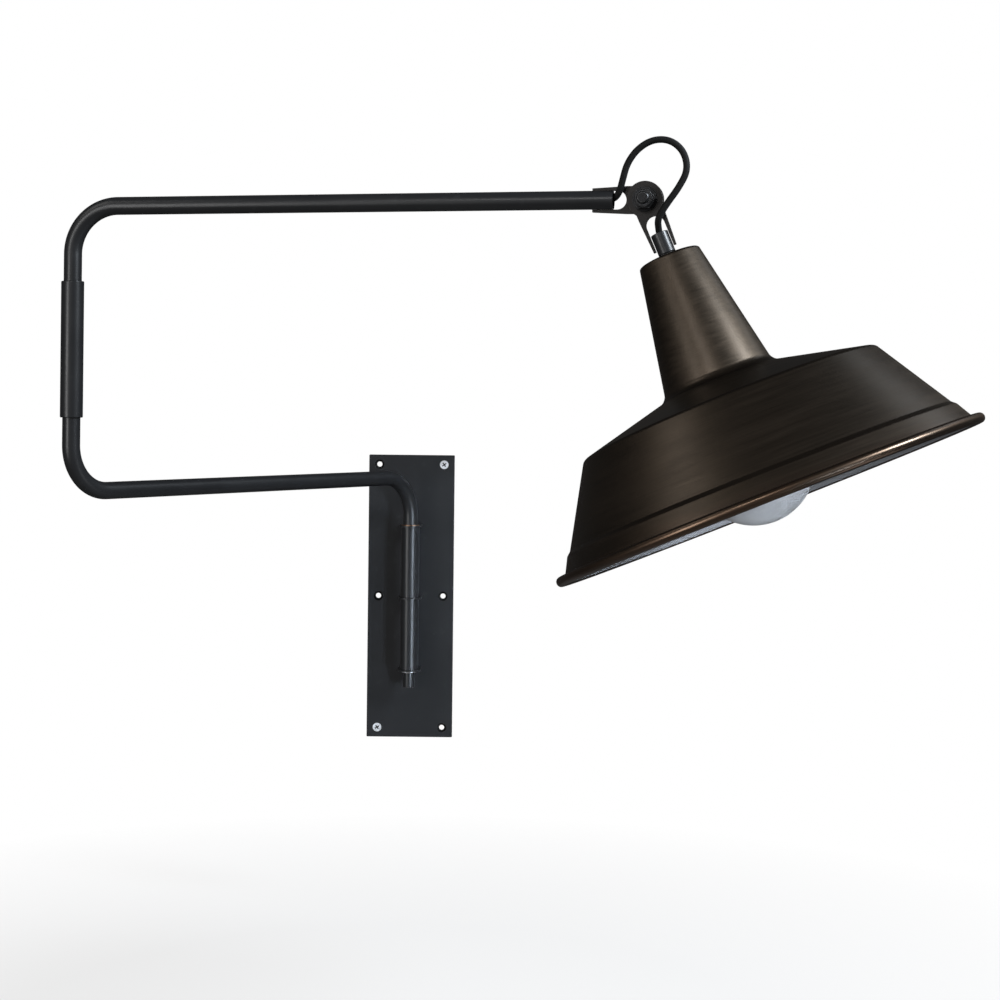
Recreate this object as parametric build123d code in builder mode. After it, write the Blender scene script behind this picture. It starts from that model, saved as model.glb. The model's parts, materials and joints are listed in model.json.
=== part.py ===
"""Swing arm wall sconce: two tubular arms on a wall plate, with a tilting spun metal shade.

Millimetres, +Z up. The origin is the centre of the wall plate's back face, the wall is the
plane y = 0, and the lamp stands out from it towards -Y.
"""

import os
from math import cos, pi, radians, sin, tan

from build123d import *

os.makedirs("parts", exist_ok=True)

# ---------------------------------------------------------------- driving dimensions
# wall plate
PLATE_WIDTH = 90.0
PLATE_HEIGHT = 297.0
PLATE_THICK = 4.0
PLATE_CORNER = 1.0
PLATE_EDGE = 0.5
HOLE_SPACING_X = 68.0
HOLE_SPACING_Z = 138.5
HOLE_DIA = 5.5
SINK_DIA = 10.0
SCREW_HEAD_DIA = 9.2
SHANK_DIA = 4.2
THREAD_DIA = 4.8
THREAD_LENGTH = 26.0
POINT_DIA = 0.8
POINT_LENGTH = 5.0

# arms
TUBE_DIA = 15.0
TUBE_BORE = 12.0
BEND_RADIUS = 40.0
LOWER_ARM_LENGTH = 460.0
UPPER_ARM_LENGTH = 485.0
LOWER_ARM_HEIGHT = 126.0
ARM_RISE = 241.0
LOWER_ARM_TURN = 54.0  # the lower arm stands this far out from the wall, to the left
UPPER_ARM_TURN = 12.0  # the upper arm stands this far out from the wall, to the right
HEAD_TILT = 22.8  # the shade's axis leans this far out from straight down
HEAD_LEAN = 2.3  # and its stem is welded in leaning this far towards the nut

# wall pivot and elbow
PIVOT_REACH = 26.0  # pivot axis to wall
PIVOT_HALF = 75.0
TAB_THICK = 1.6
TAB_RADIUS = 12.0
SLEEVE_DIA = 19.0
BUSH_DIA = 16.4
BUSH_FLANGE = 0.8
BUSH_FLOOR = 1.2
BUSH_LENGTH = 18.0
RUNNING = 0.05  # radial clearance of each turning fit
NIPPLE_DIA = 12.0
NIPPLE_BORE = 9.0
NIPPLE_FOOT = 92.5
CLIP_THICK = 1.0
CLIP_DIA = 16.0
ELBOW_LENGTH = 115.0
THRUST_THICK = 1.5

# knuckle
LUG_RADIUS = 14.5
LUG_THICK = 4.0
LUG_REACH = 42.5
LUG_END_WIDTH = 19.0
LUG_ROOT_WIDTH = 22.0
SLOT_WIDTH = 15.0
SLOT_START = 15.1
ARM_END = 25.5  # bolt axis to the mouth of the upper arm
DISC_GAP = 0.6
BOLT_DIA = 10.0
BOLT_AF = 16.0
BOLT_HEAD = 6.4
BOLT_TIP = 18.4
WASHER_DIA = 20.0
WASHER_THICK = 1.4
NUT_AF = 16.0
NUT_HEX = 7.5
NUT_COLLAR = 3.0
NUT_COLLAR_DIA = 14.6

# lamp head: w is the distance from the bolt along the shade's axis
STEM_DIA = 14.0
STEM_BORE = 11.0
STEM_START = 29.3
STEM_END = 46.5
PIPE_DIA = 10.0
PIPE_BORE = 7.0
PIPE_START = 36.5
PIPE_END = 104.0
NECK_TOP = 50.0
NECK_TOP_RADIUS = 24.9
NECK_FOOT = 155.6
NECK_FOOT_RADIUS = 44.7
SHOULDER = 175.4
SHOULDER_RADIUS = 121.5
STEP = 236.5
STEP_RADIUS = 156.8
STEP_OUT = 3.4
STEP_DROP = 3.0
LIP = 252.0
LIP_RADIUS = 166.5
RIM = 259.8
RIM_RADIUS = 175.5
SHEET = 1.0
HOLDER_TOP = 98.0
HOLDER_FOOT = 158.0
HOLDER_DIA = 39.0
BULB_CENTRE = 225.0
BULB_RADIUS = 47.5
BULB_NECK_DIA = 36.0
CAP_DIA = 26.0
CAP_TOP = 139.0
CAP_LENGTH = 22.5
GLASS = 1.2

# cord
CORD_DIA = 5.4
CORD_INSET = 8.0  # the loop starts this far inside the arm's mouth

# ---------------------------------------------------------------- places and directions
PIVOT = Vector(0, -PIVOT_REACH, 0)
LOWER_DIR = Vector(-cos(radians(LOWER_ARM_TURN)), -sin(radians(LOWER_ARM_TURN)), 0)
UPPER_DIR = Vector(cos(radians(UPPER_ARM_TURN)), -sin(radians(UPPER_ARM_TURN)), 0)
UP = Vector(0, 0, 1)
BOLT_DIR = UPPER_DIR.cross(UP)  # along the bolt, towards the nut
LUG_DIR = UPPER_DIR * sin(radians(HEAD_TILT)) - UP * cos(radians(HEAD_TILT))
HEAD_DIR = LUG_DIR * cos(radians(HEAD_LEAN)) + BOLT_DIR * sin(radians(HEAD_LEAN))
HEAD_SIDE = LUG_DIR.cross(BOLT_DIR)

ELBOW = PIVOT + LOWER_DIR * LOWER_ARM_LENGTH
KNUCKLE = ELBOW + UPPER_DIR * UPPER_ARM_LENGTH + UP * (LOWER_ARM_HEIGHT + ARM_RISE)
UPPER_ARM_HEIGHT = LOWER_ARM_HEIGHT + ARM_RISE
ELBOW_FOOT = LOWER_ARM_HEIGHT + (ARM_RISE - ELBOW_LENGTH) / 2
ELBOW_HEAD = ELBOW_FOOT + ELBOW_LENGTH
ELBOW_MIDDLE = (ELBOW_FOOT + ELBOW_HEAD) / 2
UPPER_TUBE_FOOT = ELBOW_MIDDLE + THRUST_THICK + RUNNING
TUBE_FOOT = -PIVOT_HALF + TAB_THICK / 2 + BUSH_FLOOR + RUNNING
ARM_MOUTH = KNUCKLE - UPPER_DIR * ARM_END

# the head's section: local X is across the shade, local Y runs down its axis
HEAD_SECTION = Plane(origin=KNUCKLE, x_dir=HEAD_SIDE, z_dir=HEAD_SIDE.cross(HEAD_DIR))
HEAD_AXIS = Axis(KNUCKLE, HEAD_DIR)
ARM_LUG_PLANE = Plane(origin=KNUCKLE, x_dir=-UPPER_DIR, z_dir=BOLT_DIR)
HEAD_LUG_PLANE = Plane(origin=KNUCKLE, x_dir=LUG_DIR, z_dir=BOLT_DIR)
BOLT_PLANE = Plane(origin=KNUCKLE, x_dir=UPPER_DIR, z_dir=BOLT_DIR)


def pivot_plane(height):
    """A level plane on the wall pivot's axis."""
    return Plane.XY.offset(height).shift_origin((0, -PIVOT_REACH, height))


def elbow_plane(height):
    """A level plane on the elbow's axis."""
    return Plane.XY.offset(height).shift_origin((ELBOW.X, ELBOW.Y, height))


# ---------------------------------------------------------------- wall plate and screws
FRONT = Plane(origin=(0, -PLATE_THICK, 0), x_dir=(1, 0, 0), z_dir=(0, -1, 0))
with BuildPart() as wall_plate:
    with BuildSketch(FRONT):
        RectangleRounded(PLATE_WIDTH, PLATE_HEIGHT, PLATE_CORNER)
    extrude(amount=-PLATE_THICK)
    front_rim = wall_plate.faces().sort_by(Axis.Y)[0].outer_wire().edges()
    chamfer(front_rim, length=PLATE_EDGE)
    with Locations(FRONT):
        with GridLocations(HOLE_SPACING_X, HOLE_SPACING_Z, 2, 3):
            CounterSinkHole(HOLE_DIA / 2, SINK_DIA / 2, counter_sink_angle=90)
wall_plate.part.label = "wall_plate"
export_step(wall_plate.part, "parts/wall_plate.step")

# two of the six holes hold a countersunk cross-recess screw: top right and bottom left
SCREW_PLACES = [(HOLE_SPACING_X / 2, HOLE_SPACING_Z), (-HOLE_SPACING_X / 2, -HOLE_SPACING_Z)]
ON_TOP = (Align.CENTER, Align.CENTER, Align.MAX)
HEAD_SINK = 0.25  # the head sits this far below the plate's face
RECESS_WIDTH = 1.1
RECESS_SPAN = 5.0
RECESS_DEPTH = 1.8
RECESS_TURN = 35.0
with BuildPart() as wall_screws:
    with Locations(FRONT.offset(-HEAD_SINK)):
        with Locations(*SCREW_PLACES):
            Cone(
                SHANK_DIA / 2,
                SCREW_HEAD_DIA / 2,
                (SCREW_HEAD_DIA - SHANK_DIA) / 2,
                align=ON_TOP,
            )
            Cylinder(SHANK_DIA / 2, PLATE_THICK - HEAD_SINK, align=ON_TOP)
    with Locations(FRONT.offset(-PLATE_THICK)):
        with Locations(*SCREW_PLACES):
            Cylinder(THREAD_DIA / 2, THREAD_LENGTH, align=ON_TOP)
    with Locations(FRONT.offset(-PLATE_THICK - THREAD_LENGTH)):
        with Locations(*SCREW_PLACES):
            Cone(POINT_DIA / 2, THREAD_DIA / 2, POINT_LENGTH, align=ON_TOP)
    with BuildSketch(FRONT.offset(-HEAD_SINK)):
        with Locations(*SCREW_PLACES):
            Rectangle(RECESS_SPAN, RECESS_WIDTH, rotation=RECESS_TURN)
            Rectangle(RECESS_WIDTH, RECESS_SPAN, rotation=RECESS_TURN)
    extrude(amount=-RECESS_DEPTH, mode=Mode.SUBTRACT)
wall_screws.part.label = "wall_screws"
export_step(wall_screws.part, "parts/wall_screws.step")

# ---------------------------------------------------------------- wall pivot
TABS = {
    "top_pivot_tab": (PIVOT_HALF, BUSH_DIA),
    "middle_pivot_tab": (0.0, TUBE_DIA + 2 * RUNNING),
    "bottom_pivot_tab": (-PIVOT_HALF, NIPPLE_DIA + 2 * RUNNING),
}
for name, (height, bore) in TABS.items():
    with BuildPart() as pivot_tab:
        with BuildSketch(pivot_plane(height - TAB_THICK / 2)):
            Circle(TAB_RADIUS)
            with Locations((0, (PIVOT_REACH - PLATE_THICK) / 2)):
                Rectangle(2 * TAB_RADIUS, PIVOT_REACH - PLATE_THICK)
            Circle(bore / 2, mode=Mode.SUBTRACT)
        extrude(amount=TAB_THICK)
    pivot_tab.part.label = name
    export_step(pivot_tab.part, f"parts/{name}.step")

SLEEVE_HEIGHT = PIVOT_HALF - TAB_THICK
SLEEVES = {
    "upper_pivot_sleeve": (TAB_THICK / 2, PIVOT_HALF - TAB_THICK / 2 - BUSH_LENGTH),
    "lower_pivot_sleeve": (-PIVOT_HALF + TAB_THICK / 2, -PIVOT_HALF + TAB_THICK / 2),
}
for name, (foot, counterbore) in SLEEVES.items():
    with BuildPart() as pivot_sleeve:
        with BuildSketch(pivot_plane(foot)):
            Circle(SLEEVE_DIA / 2)
            Circle(TUBE_DIA / 2 + RUNNING, mode=Mode.SUBTRACT)
        extrude(amount=SLEEVE_HEIGHT)
        with BuildSketch(pivot_plane(counterbore)):
            Circle(BUSH_DIA / 2)
        extrude(amount=BUSH_LENGTH, mode=Mode.SUBTRACT)
    pivot_sleeve.part.label = name
    export_step(pivot_sleeve.part, f"parts/{name}.step")

# the upper bush hangs in the sleeve by its flange, the lower one is a cup that carries the arm
with BuildPart() as upper_pivot_bush:
    flange_foot = PIVOT_HALF + TAB_THICK / 2
    with BuildSketch(pivot_plane(flange_foot)):
        Circle(SLEEVE_DIA / 2)
    extrude(amount=BUSH_FLANGE)
    with BuildSketch(pivot_plane(flange_foot)):
        Circle(BUSH_DIA / 2)
    extrude(amount=-(BUSH_LENGTH + TAB_THICK))
    with BuildSketch(pivot_plane(flange_foot + BUSH_FLANGE)):
        Circle(TUBE_DIA / 2 + RUNNING)
    extrude(amount=-(BUSH_LENGTH + TAB_THICK + BUSH_FLANGE), mode=Mode.SUBTRACT)
upper_pivot_bush.part.label = "upper_pivot_bush"
export_step(upper_pivot_bush.part, "parts/upper_pivot_bush.step")

with BuildPart() as lower_pivot_bush:
    cup_foot = -PIVOT_HALF + TAB_THICK / 2
    with BuildSketch(pivot_plane(cup_foot)):
        Circle(BUSH_DIA / 2)
        Circle(NIPPLE_DIA / 2 + RUNNING, mode=Mode.SUBTRACT)
    extrude(amount=BUSH_LENGTH)
    with BuildSketch(pivot_plane(cup_foot + BUSH_FLOOR)):
        Circle(TUBE_DIA / 2 + RUNNING)
    extrude(amount=BUSH_LENGTH - BUSH_FLOOR, mode=Mode.SUBTRACT)
lower_pivot_bush.part.label = "lower_pivot_bush"
export_step(lower_pivot_bush.part, "parts/lower_pivot_bush.step")

# ---------------------------------------------------------------- lower arm
with BuildPart() as lower_arm_tube:
    with BuildLine() as lower_run:
        FilletPolyline(
            PIVOT + UP * TUBE_FOOT,
            PIVOT + UP * LOWER_ARM_HEIGHT,
            ELBOW + UP * LOWER_ARM_HEIGHT,
            ELBOW + UP * ELBOW_MIDDLE,
            radius=BEND_RADIUS,
        )
    with BuildSketch(pivot_plane(TUBE_FOOT)):
        Circle(TUBE_DIA / 2)
        Circle(TUBE_BORE / 2, mode=Mode.SUBTRACT)
    sweep(path=lower_run.wires()[0])
lower_arm_tube.part.label = "lower_arm_tube"
export_step(lower_arm_tube.part, "parts/lower_arm_tube.step")

# the hollow nipple is pressed into the tube's foot and is the way out for the supply cord
NIPPLE_GRIP = 14.0
GROOVE_DEPTH = 0.6
NIPPLE_EDGE = 0.4
CLIP_TOP = -PIVOT_HALF - TAB_THICK / 2 - 2 * RUNNING
with BuildPart() as pivot_nipple:
    with BuildSketch(pivot_plane(-NIPPLE_FOOT)):
        Circle(NIPPLE_DIA / 2)
        Circle(NIPPLE_BORE / 2, mode=Mode.SUBTRACT)
    extrude(amount=NIPPLE_FOOT + TUBE_FOOT + NIPPLE_GRIP)
    with BuildSketch(pivot_plane(CLIP_TOP)):
        Circle(NIPPLE_DIA / 2)
        Circle(NIPPLE_DIA / 2 - GROOVE_DEPTH, mode=Mode.SUBTRACT)
    extrude(amount=-CLIP_THICK, mode=Mode.SUBTRACT)
    foot_rims = pivot_nipple.edges().group_by(Axis.Z)[0]
    chamfer(foot_rims, length=NIPPLE_EDGE)
pivot_nipple.part.label = "pivot_nipple"
export_step(pivot_nipple.part, "parts/pivot_nipple.step")

CLIP_MOUTH = 7.0
with BuildPart() as pivot_clip:
    with BuildSketch(pivot_plane(CLIP_TOP)):
        Circle(CLIP_DIA / 2)
        Circle(NIPPLE_DIA / 2 - GROOVE_DEPTH, mode=Mode.SUBTRACT)
        with Locations((0, CLIP_DIA / 2)):
            Rectangle(CLIP_MOUTH, CLIP_DIA, mode=Mode.SUBTRACT)
    extrude(amount=-CLIP_THICK)
pivot_clip.part.label = "pivot_clip"
export_step(pivot_clip.part, "parts/pivot_clip.step")

SLEEVE_ROUND = 0.8
with BuildPart() as elbow_sleeve:
    with BuildSketch(elbow_plane(ELBOW_FOOT)):
        Circle(SLEEVE_DIA / 2)
        Circle(TUBE_DIA / 2 + RUNNING, mode=Mode.SUBTRACT)
    extrude(amount=ELBOW_LENGTH)
    end_rims = elbow_sleeve.edges().filter_by(
        lambda e: e.geom_type == GeomType.CIRCLE and abs(e.radius - SLEEVE_DIA / 2) < 0.01
    )
    fillet(end_rims, radius=SLEEVE_ROUND)
elbow_sleeve.part.label = "elbow_sleeve"
export_step(elbow_sleeve.part, "parts/elbow_sleeve.step")

with BuildPart() as elbow_thrust_washer:
    with BuildSketch(elbow_plane(ELBOW_MIDDLE)):
        Circle(TUBE_DIA / 2)
        Circle(TUBE_BORE / 2, mode=Mode.SUBTRACT)
    extrude(amount=THRUST_THICK)
elbow_thrust_washer.part.label = "elbow_thrust_washer"
export_step(elbow_thrust_washer.part, "parts/elbow_thrust_washer.step")

NIPPLE_INSET = 4.0
with BuildPart() as lower_arm_cable:
    with BuildLine() as lower_wire:
        FilletPolyline(
            PIVOT + UP * (NIPPLE_INSET - NIPPLE_FOOT),
            PIVOT + UP * LOWER_ARM_HEIGHT,
            ELBOW + UP * LOWER_ARM_HEIGHT,
            ELBOW + UP * ELBOW_MIDDLE,
            radius=BEND_RADIUS,
        )
    with BuildSketch(pivot_plane(NIPPLE_INSET - NIPPLE_FOOT)):
        Circle(CORD_DIA / 2)
    sweep(path=lower_wire.wires()[0])
lower_arm_cable.part.label = "lower_arm_cable"
export_step(lower_arm_cable.part, "parts/lower_arm_cable.step")

# ---------------------------------------------------------------- upper arm
with BuildPart() as upper_arm_tube:
    with BuildLine() as upper_run:
        FilletPolyline(
            ELBOW + UP * UPPER_TUBE_FOOT,
            ELBOW + UP * UPPER_ARM_HEIGHT,
            ARM_MOUTH,
            radius=BEND_RADIUS,
        )
    with BuildSketch(elbow_plane(UPPER_TUBE_FOOT)):
        Circle(TUBE_DIA / 2)
        Circle(TUBE_BORE / 2, mode=Mode.SUBTRACT)
    sweep(path=upper_run.wires()[0])
upper_arm_tube.part.label = "upper_arm_tube"
export_step(upper_arm_tube.part, "parts/upper_arm_tube.step")

CABLE_GAP = 0.3
with BuildPart() as upper_arm_cable:
    with BuildLine() as upper_wire:
        FilletPolyline(
            ELBOW + UP * (ELBOW_MIDDLE + CABLE_GAP),
            ELBOW + UP * UPPER_ARM_HEIGHT,
            ARM_MOUTH - UPPER_DIR * CORD_INSET,
            radius=BEND_RADIUS,
        )
    with BuildSketch(elbow_plane(ELBOW_MIDDLE + CABLE_GAP)):
        Circle(CORD_DIA / 2)
    sweep(path=upper_wire.wires()[0])
upper_arm_cable.part.label = "upper_arm_cable"
export_step(upper_arm_cable.part, "parts/upper_arm_cable.step")

# ---------------------------------------------------------------- knuckle
# each lug is a disc with a slotted tongue, and a tube end is welded in the slot
LUGS = {
    "arm_lug": ARM_LUG_PLANE.offset(-DISC_GAP / 2 - LUG_THICK),
    "head_lug": HEAD_LUG_PLANE.offset(DISC_GAP / 2),
}
LUG_EDGE = 0.4
for name, plane in LUGS.items():
    with BuildPart() as lug:
        with BuildSketch(plane):
            Circle(LUG_RADIUS)
            with BuildLine():
                Polyline(
                    (0, -LUG_ROOT_WIDTH / 2),
                    (LUG_RADIUS, -LUG_ROOT_WIDTH / 2),
                    (LUG_REACH, -LUG_END_WIDTH / 2),
                    (LUG_REACH, LUG_END_WIDTH / 2),
                    (LUG_RADIUS, LUG_ROOT_WIDTH / 2),
                    (0, LUG_ROOT_WIDTH / 2),
                    close=True,
                )
            make_face()
            with Locations((SLOT_START + SLOT_WIDTH / 2, 0)):
                Circle(SLOT_WIDTH / 2, mode=Mode.SUBTRACT)
            with Locations((SLOT_START + SLOT_WIDTH / 2 + LUG_REACH / 2, 0)):
                Rectangle(LUG_REACH, SLOT_WIDTH, mode=Mode.SUBTRACT)
            Circle(BOLT_DIA / 2 + RUNNING, mode=Mode.SUBTRACT)
        extrude(amount=LUG_THICK)
        outer_rims = (
            lug.edges()
            .filter_by(GeomType.CIRCLE)
            .filter_by(lambda e: abs(e.radius - LUG_RADIUS) < 0.01)
        )
        chamfer(outer_rims, length=LUG_EDGE)
    lug.part.label = name
    export_step(lug.part, f"parts/{name}.step")

FLAT_WASHERS = {
    "back_washer": -DISC_GAP / 2 - LUG_THICK - WASHER_THICK,
    "front_washer": DISC_GAP / 2 + LUG_THICK + RUNNING,
}
for name, foot in FLAT_WASHERS.items():
    with BuildPart() as flat_washer:
        with BuildSketch(BOLT_PLANE.offset(foot)):
            Circle(WASHER_DIA / 2)
            Circle(BOLT_DIA / 2 + RUNNING, mode=Mode.SUBTRACT)
        extrude(amount=WASHER_THICK)
    flat_washer.part.label = name
    export_step(flat_washer.part, f"parts/{name}.step")

DISC_MARGIN = 1.5
with BuildPart() as friction_disc:
    with BuildSketch(BOLT_PLANE.offset(-DISC_GAP / 2)):
        Circle(LUG_RADIUS - DISC_MARGIN)
        Circle(BOLT_DIA / 2 + RUNNING, mode=Mode.SUBTRACT)
    extrude(amount=DISC_GAP - RUNNING)
friction_disc.part.label = "friction_disc"
export_step(friction_disc.part, "parts/friction_disc.step")

HEAD_SEAT = -DISC_GAP / 2 - LUG_THICK - WASHER_THICK
TIP_CHAMFER = 1.0
with BuildPart() as knuckle_bolt:
    with BuildSketch(BOLT_PLANE.offset(HEAD_SEAT)):
        RegularPolygon(BOLT_AF / 2, 6, major_radius=False)
    extrude(amount=-BOLT_HEAD)
    with BuildSketch(BOLT_PLANE.offset(HEAD_SEAT)):
        Circle(BOLT_DIA / 2)
    extrude(amount=BOLT_TIP - HEAD_SEAT)
    tip_rim = knuckle_bolt.faces().sort_by(Axis(KNUCKLE, BOLT_DIR))[-1].edges()
    chamfer(tip_rim, length=TIP_CHAMFER)
knuckle_bolt.part.label = "knuckle_bolt"
export_step(knuckle_bolt.part, "parts/knuckle_bolt.step")

NUT_SEAT = DISC_GAP / 2 + LUG_THICK + RUNNING + WASHER_THICK
INSERT_DIA = 12.4
INSERT_THICK = 2.2
INSERT_SINK = 0.4
with BuildPart() as lock_nut:
    with BuildSketch(BOLT_PLANE.offset(NUT_SEAT)):
        RegularPolygon(NUT_AF / 2, 6, major_radius=False)
    extrude(amount=NUT_HEX)
    with BuildSketch(BOLT_PLANE.offset(NUT_SEAT + NUT_HEX)):
        Circle(NUT_COLLAR_DIA / 2)
    extrude(amount=NUT_COLLAR)
    with BuildSketch(BOLT_PLANE.offset(NUT_SEAT)):
        Circle(BOLT_DIA / 2)
    extrude(amount=NUT_HEX + NUT_COLLAR, mode=Mode.SUBTRACT)
    with BuildSketch(BOLT_PLANE.offset(NUT_SEAT + NUT_HEX + NUT_COLLAR - INSERT_THICK)):
        Circle(INSERT_DIA / 2)
    extrude(amount=INSERT_THICK, mode=Mode.SUBTRACT)
lock_nut.part.label = "lock_nut"
export_step(lock_nut.part, "parts/lock_nut.step")

with BuildPart() as lock_nut_insert:
    with BuildSketch(BOLT_PLANE.offset(NUT_SEAT + NUT_HEX + NUT_COLLAR - INSERT_THICK)):
        Circle(INSERT_DIA / 2)
        Circle(BOLT_DIA / 2, mode=Mode.SUBTRACT)
    extrude(amount=INSERT_THICK - INSERT_SINK)
lock_nut_insert.part.label = "lock_nut_insert"
export_step(lock_nut_insert.part, "parts/lock_nut_insert.step")

# ---------------------------------------------------------------- head: stem and pipe
with BuildPart() as stem_tube:
    with BuildSketch(HEAD_SECTION):
        with Locations(((STEM_BORE + STEM_DIA) / 4, (STEM_START + STEM_END) / 2)):
            Rectangle((STEM_DIA - STEM_BORE) / 2, STEM_END - STEM_START)
    revolve(axis=HEAD_AXIS)
stem_tube.part.label = "stem_tube"
export_step(stem_tube.part, "parts/stem_tube.step")

# the threaded pipe screws up into a plug in the stem and carries the shade and the lampholder
PLUG_LENGTH = 10.0
with BuildPart() as stem_plug:
    with BuildSketch(HEAD_SECTION):
        with Locations(((PIPE_DIA + STEM_BORE) / 4, STEM_END - PLUG_LENGTH / 2)):
            Rectangle((STEM_BORE - PIPE_DIA) / 2, PLUG_LENGTH)
    revolve(axis=HEAD_AXIS)
stem_plug.part.label = "stem_plug"
export_step(stem_plug.part, "parts/stem_plug.step")

with BuildPart() as threaded_pipe:
    with BuildSketch(HEAD_SECTION):
        with Locations(((PIPE_BORE + PIPE_DIA) / 4, (PIPE_START + PIPE_END) / 2)):
            Rectangle((PIPE_DIA - PIPE_BORE) / 2, PIPE_END - PIPE_START)
    revolve(axis=HEAD_AXIS)
threaded_pipe.part.label = "threaded_pipe"
export_step(threaded_pipe.part, "parts/threaded_pipe.step")

# the neck is clamped between a washer and nut below and a washer above
LOCKNUT_AF = 14.0
LOCKNUT_THICK = 3.0
NECK_WASHER_DIA = 22.0
NECK_WASHER_THICK = 1.0
NECK_INSIDE = NECK_TOP + SHEET
PIPE_RINGS = {
    "upper_neck_nut": (NECK_TOP - LOCKNUT_THICK, LOCKNUT_AF, LOCKNUT_THICK, 6),
    "neck_washer": (NECK_INSIDE, NECK_WASHER_DIA, NECK_WASHER_THICK, 0),
    "lower_neck_nut": (NECK_INSIDE + NECK_WASHER_THICK, LOCKNUT_AF, LOCKNUT_THICK, 6),
    "holder_nut": (HOLDER_TOP - LOCKNUT_THICK, LOCKNUT_AF, LOCKNUT_THICK, 6),
}
for name, (start, width, thick, sides) in PIPE_RINGS.items():
    ring_plane = Plane(origin=KNUCKLE + HEAD_DIR * start, x_dir=HEAD_SIDE, z_dir=HEAD_DIR)
    with BuildPart() as pipe_ring:
        with BuildSketch(ring_plane):
            if sides:
                RegularPolygon(width / 2, sides, major_radius=False)
            else:
                Circle(width / 2)
            Circle(PIPE_DIA / 2, mode=Mode.SUBTRACT)
        extrude(amount=thick)
    pipe_ring.part.label = name
    export_step(pipe_ring.part, f"parts/{name}.step")

# ---------------------------------------------------------------- head: spun shade
# the outer line runs down the neck, over the shoulder, past a small step and into a rolled rim
NECK_ROUND = 2.5
NECK_SWEEP = 9.0
SHOULDER_ROUND = 5.0
STEP_ROUND = 3.0
LIP_ROUND = 1.6
ROLL = 2.7
ROLL_GAP = 1.2
CONE_SLOPE = (STEP_RADIUS - SHOULDER_RADIUS) / (STEP - SHOULDER)
LIP_FOOT_RADIUS = LIP_RADIUS + (RIM - SHEET - LIP) * CONE_SLOPE
with BuildPart() as shade:
    with BuildSketch(HEAD_SECTION):
        with BuildLine():
            FilletPolyline(
                (PIPE_DIA / 2 + 2 * RUNNING, NECK_TOP),
                (NECK_TOP_RADIUS, NECK_TOP),
                (NECK_FOOT_RADIUS, NECK_FOOT),
                (SHOULDER_RADIUS, SHOULDER),
                (STEP_RADIUS, STEP),
                (STEP_RADIUS + STEP_OUT, STEP + STEP_DROP),
                (LIP_FOOT_RADIUS, RIM - SHEET),
                (RIM_RADIUS - SHEET, RIM - SHEET),
                (RIM_RADIUS - SHEET, LIP + SHEET),
                (LIP_RADIUS + ROLL_GAP, LIP + SHEET),
                radius=[NECK_ROUND, NECK_SWEEP, SHOULDER_ROUND, STEP_ROUND, STEP_ROUND]
                + [LIP_ROUND, ROLL, ROLL],
            )
            offset(amount=SHEET, side=Side.RIGHT)
        make_face()
    revolve(axis=HEAD_AXIS)
shade.part.label = "shade"
export_step(shade.part, "parts/shade.step")

# ---------------------------------------------------------------- head: lampholder and bulb
HOLDER_WALL = 2.0
HOLDER_NECK_DIA = 16.0
CAP_DEPTH = 18.0
CROWN_IN = 3.0
CROWN_DROP = 10.0
CROWN_NECK = 6.0
MOUTH_LIP = 3.0
CORE_TOP = 124.0
CORE_THICK = 12.0
SHELL_WALL = 0.5
SOCKET_GAP = 0.4
HOLDER_SPLIT = HOLDER_TOP + CAP_DEPTH
with BuildPart() as holder_cap:
    with BuildSketch(HEAD_SECTION):
        with BuildLine():
            Polyline(
                (PIPE_DIA / 2, HOLDER_TOP),
                (HOLDER_NECK_DIA / 2, HOLDER_TOP),
                (HOLDER_DIA / 2 - CROWN_IN, HOLDER_TOP + CROWN_DROP / 2),
                (HOLDER_DIA / 2, HOLDER_TOP + CROWN_DROP),
                (HOLDER_DIA / 2, HOLDER_SPLIT),
                (HOLDER_DIA / 2 - HOLDER_WALL, HOLDER_SPLIT),
                (HOLDER_DIA / 2 - HOLDER_WALL, HOLDER_TOP + CROWN_DROP),
                (PIPE_DIA / 2, HOLDER_TOP + CROWN_NECK),
                close=True,
            )
        make_face()
    revolve(axis=HEAD_AXIS)
holder_cap.part.label = "holder_cap"
export_step(holder_cap.part, "parts/holder_cap.step")

with BuildPart() as holder_body:
    with BuildSketch(HEAD_SECTION):
        with Locations((HOLDER_DIA / 2 - HOLDER_WALL / 2, (HOLDER_SPLIT + HOLDER_FOOT) / 2)):
            Rectangle(HOLDER_WALL, HOLDER_FOOT - HOLDER_SPLIT)
        with Locations(((HOLDER_DIA / 2 + CAP_DIA / 2 + SOCKET_GAP) / 2, HOLDER_FOOT - MOUTH_LIP / 2)):
            Rectangle(HOLDER_DIA / 2 - CAP_DIA / 2 - SOCKET_GAP, MOUTH_LIP)
    revolve(axis=HEAD_AXIS)
holder_body.part.label = "holder_body"
export_step(holder_body.part, "parts/holder_body.step")

with BuildPart() as holder_core:
    with BuildSketch(HEAD_SECTION):
        with Locations((HOLDER_DIA / 4 - HOLDER_WALL / 2, CORE_TOP + CORE_THICK / 2)):
            Rectangle(HOLDER_DIA / 2 - HOLDER_WALL, CORE_THICK)
    revolve(axis=HEAD_AXIS)
holder_core.part.label = "holder_core"
export_step(holder_core.part, "parts/holder_core.step")

SOCKET_TOP = CORE_TOP + CORE_THICK
SOCKET_FOOT = HOLDER_FOOT - MOUTH_LIP
SHELL_RADIUS = CAP_DIA / 2 + SOCKET_GAP
with BuildPart() as holder_screw_shell:
    with BuildSketch(HEAD_SECTION):
        with Locations((SHELL_RADIUS + SHELL_WALL / 2, (SOCKET_TOP + SOCKET_FOOT) / 2)):
            Rectangle(SHELL_WALL, SOCKET_FOOT - SOCKET_TOP)
    revolve(axis=HEAD_AXIS)
holder_screw_shell.part.label = "holder_screw_shell"
export_step(holder_screw_shell.part, "parts/holder_screw_shell.step")

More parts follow.
